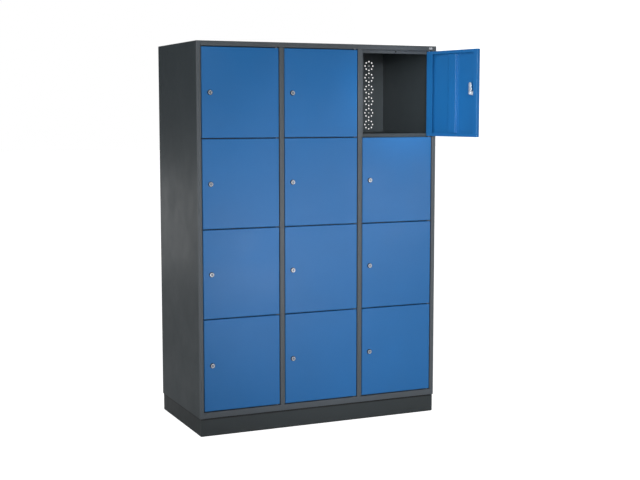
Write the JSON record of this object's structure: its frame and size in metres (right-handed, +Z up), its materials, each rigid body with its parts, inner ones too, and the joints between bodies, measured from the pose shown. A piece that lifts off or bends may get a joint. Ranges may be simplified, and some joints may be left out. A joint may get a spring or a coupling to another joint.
{
  "type": "locker cabinet",
  "caption": "Steel locker cabinet on a plinth, with a grid of compartments, hinged doors and turning key locks.",
  "frame": {"origin": "centre of the cabinet's footprint, on the floor under the plinth brace", "axes": "+X to the right seen from the front, +Y to the back, +Z up; the front plane is at y = -0.29 m"},
  "size_m": [1.2555, 0.9281, 1.8],
  "materials": {
    "body_paint": "satin anthracite powder coat",
    "frame_paint": "satin anthracite powder coat",
    "door_paint": "satin blue powder coat",
    "lock_chrome": "nickel plated",
    "pin_steel": "zinc plated",
    "buffer_rubber": "matt"
  },
  "bodies": {
    "cabinet": {"left_side_panel": "body_paint", "right_side_panel": "body_paint", "back_panel": "body_paint", "roof_panel": "body_paint", "base_panel": "body_paint", "plinth_front": "body_paint", "plinth_back": "body_paint", "plinth_ends": "body_paint", "plinth_brace": "body_paint", "plinth_screws": "pin_steel", "left_stile": "frame_paint", "right_stile": "frame_paint", "top_rail": "frame_paint", "bottom_rail": "frame_paint", "hinge_brackets": "frame_paint", "hinge_pins": "pin_steel", "door_buffers": "buffer_rubber", "mullion_1": "frame_paint", "mullion_2": "frame_paint", "partition_1": "body_paint", "partition_2": "body_paint", "shelves_column_1": "body_paint", "shelves_column_2": "body_paint", "shelves_column_3": "body_paint"},
    "door_c1_r1": {"door_c1_r1": "door_paint", "lock_body_c1_r1": "lock_chrome"},
    "cam_c1_r1": {"lock_cam_c1_r1": "lock_chrome"},
    "door_c1_r2": {"door_c1_r2": "door_paint", "lock_body_c1_r2": "lock_chrome"},
    "cam_c1_r2": {"lock_cam_c1_r2": "lock_chrome"},
    "door_c1_r3": {"door_c1_r3": "door_paint", "lock_body_c1_r3": "lock_chrome"},
    "cam_c1_r3": {"lock_cam_c1_r3": "lock_chrome"},
    "door_c1_r4": {"door_c1_r4": "door_paint", "lock_body_c1_r4": "lock_chrome"},
    "cam_c1_r4": {"lock_cam_c1_r4": "lock_chrome"},
    "door_c2_r1": {"door_c2_r1": "door_paint", "lock_body_c2_r1": "lock_chrome"},
    "cam_c2_r1": {"lock_cam_c2_r1": "lock_chrome"},
    "door_c2_r2": {"door_c2_r2": "door_paint", "lock_body_c2_r2": "lock_chrome"},
    "cam_c2_r2": {"lock_cam_c2_r2": "lock_chrome"},
    "door_c2_r3": {"door_c2_r3": "door_paint", "lock_body_c2_r3": "lock_chrome"},
    "cam_c2_r3": {"lock_cam_c2_r3": "lock_chrome"},
    "door_c2_r4": {"door_c2_r4": "door_paint", "lock_body_c2_r4": "lock_chrome"},
    "cam_c2_r4": {"lock_cam_c2_r4": "lock_chrome"},
    "door_c3_r1": {"door_c3_r1": "door_paint", "lock_body_c3_r1": "lock_chrome"},
    "cam_c3_r1": {"lock_cam_c3_r1": "lock_chrome"},
    "door_c3_r2": {"door_c3_r2": "door_paint", "lock_body_c3_r2": "lock_chrome"},
    "cam_c3_r2": {"lock_cam_c3_r2": "lock_chrome"},
    "door_c3_r3": {"door_c3_r3": "door_paint", "lock_body_c3_r3": "lock_chrome"},
    "cam_c3_r3": {"lock_cam_c3_r3": "lock_chrome"},
    "door_c3_r4": {"door_c3_r4": "door_paint", "lock_body_c3_r4": "lock_chrome"},
    "cam_c3_r4": {"lock_cam_c3_r4": "lock_chrome"}
  },
  "joints": [
    {"name": "door_c1_r1_hinge", "type": "hinge", "parent": "cabinet", "child": "door_c1_r1", "pos_m": [-0.22383, -0.2785, 1.57082], "axis": [0, 0, 1], "range_deg": [0, 102]},
    {"name": "lock_c1_r1_turn", "type": "hinge", "parent": "door_c1_r1", "child": "cam_c1_r1", "pos_m": [-0.5475, -0.2785, 1.57082], "axis": [0, -1, 0], "range_deg": [0, 90]},
    {"name": "door_c1_r2_hinge", "type": "hinge", "parent": "cabinet", "child": "door_c1_r2", "pos_m": [-0.22383, -0.2785, 1.15987], "axis": [0, 0, 1], "range_deg": [0, 102]},
    {"name": "lock_c1_r2_turn", "type": "hinge", "parent": "door_c1_r2", "child": "cam_c1_r2", "pos_m": [-0.5475, -0.2785, 1.15987], "axis": [0, -1, 0], "range_deg": [0, 90]},
    {"name": "door_c1_r3_hinge", "type": "hinge", "parent": "cabinet", "child": "door_c1_r3", "pos_m": [-0.22383, -0.2785, 0.74892], "axis": [0, 0, 1], "range_deg": [0, 102]},
    {"name": "lock_c1_r3_turn", "type": "hinge", "parent": "door_c1_r3", "child": "cam_c1_r3", "pos_m": [-0.5475, -0.2785, 0.74892], "axis": [0, -1, 0], "range_deg": [0, 90]},
    {"name": "door_c1_r4_hinge", "type": "hinge", "parent": "cabinet", "child": "door_c1_r4", "pos_m": [-0.22383, -0.2785, 0.32898], "axis": [0, 0, 1], "range_deg": [0, 102]},
    {"name": "lock_c1_r4_turn", "type": "hinge", "parent": "door_c1_r4", "child": "cam_c1_r4", "pos_m": [-0.5475, -0.2785, 0.32898], "axis": [0, -1, 0], "range_deg": [0, 90]},
    {"name": "door_c2_r1_hinge", "type": "hinge", "parent": "cabinet", "child": "door_c2_r1", "pos_m": [0.17683, -0.2785, 1.57082], "axis": [0, 0, 1], "range_deg": [0, 102]},
    {"name": "lock_c2_r1_turn", "type": "hinge", "parent": "door_c2_r1", "child": "cam_c2_r1", "pos_m": [-0.14683, -0.2785, 1.57082], "axis": [0, -1, 0], "range_deg": [0, 90]},
    {"name": "door_c2_r2_hinge", "type": "hinge", "parent": "cabinet", "child": "door_c2_r2", "pos_m": [0.17683, -0.2785, 1.15987], "axis": [0, 0, 1], "range_deg": [0, 102]},
    {"name": "lock_c2_r2_turn", "type": "hinge", "parent": "door_c2_r2", "child": "cam_c2_r2", "pos_m": [-0.14683, -0.2785, 1.15987], "axis": [0, -1, 0], "range_deg": [0, 90]},
    {"name": "door_c2_r3_hinge", "type": "hinge", "parent": "cabinet", "child": "door_c2_r3", "pos_m": [0.17683, -0.2785, 0.74892], "axis": [0, 0, 1], "range_deg": [0, 102]},
    {"name": "lock_c2_r3_turn", "type": "hinge", "parent": "door_c2_r3", "child": "cam_c2_r3", "pos_m": [-0.14683, -0.2785, 0.74892], "axis": [0, -1, 0], "range_deg": [0, 90]},
    {"name": "door_c2_r4_hinge", "type": "hinge", "parent": "cabinet", "child": "door_c2_r4", "pos_m": [0.17683, -0.2785, 0.32898], "axis": [0, 0, 1], "range_deg": [0, 102]},
    {"name": "lock_c2_r4_turn", "type": "hinge", "parent": "door_c2_r4", "child": "cam_c2_r4", "pos_m": [-0.14683, -0.2785, 0.32898], "axis": [0, -1, 0], "range_deg": [0, 90]},
    {"name": "door_c3_r1_hinge", "type": "hinge", "parent": "cabinet", "child": "door_c3_r1", "pos_m": [0.5775, -0.2785, 1.57082], "axis": [0, 0, 1], "range_deg": [-99, 3]},
    {"name": "lock_c3_r1_turn", "type": "hinge", "parent": "door_c3_r1", "child": "cam_c3_r1", "pos_m": [0.62813, -0.59818, 1.57082], "axis": [0.9877, 0.1564, 0], "range_deg": [0, 90]},
    {"name": "door_c3_r2_hinge", "type": "hinge", "parent": "cabinet", "child": "door_c3_r2", "pos_m": [0.5775, -0.2785, 1.15987], "axis": [0, 0, 1], "range_deg": [0, 102]},
    {"name": "lock_c3_r2_turn", "type": "hinge", "parent": "door_c3_r2", "child": "cam_c3_r2", "pos_m": [0.25383, -0.2785, 1.15987], "axis": [0, -1, 0], "range_deg": [0, 90]},
    {"name": "door_c3_r3_hinge", "type": "hinge", "parent": "cabinet", "child": "door_c3_r3", "pos_m": [0.5775, -0.2785, 0.74892], "axis": [0, 0, 1], "range_deg": [0, 102]},
    {"name": "lock_c3_r3_turn", "type": "hinge", "parent": "door_c3_r3", "child": "cam_c3_r3", "pos_m": [0.25383, -0.2785, 0.74892], "axis": [0, -1, 0], "range_deg": [0, 90]},
    {"name": "door_c3_r4_hinge", "type": "hinge", "parent": "cabinet", "child": "door_c3_r4", "pos_m": [0.5775, -0.2785, 0.32898], "axis": [0, 0, 1], "range_deg": [0, 102]},
    {"name": "lock_c3_r4_turn", "type": "hinge", "parent": "door_c3_r4", "child": "cam_c3_r4", "pos_m": [0.25383, -0.2785, 0.32898], "axis": [0, -1, 0], "range_deg": [0, 90]}
  ]
}
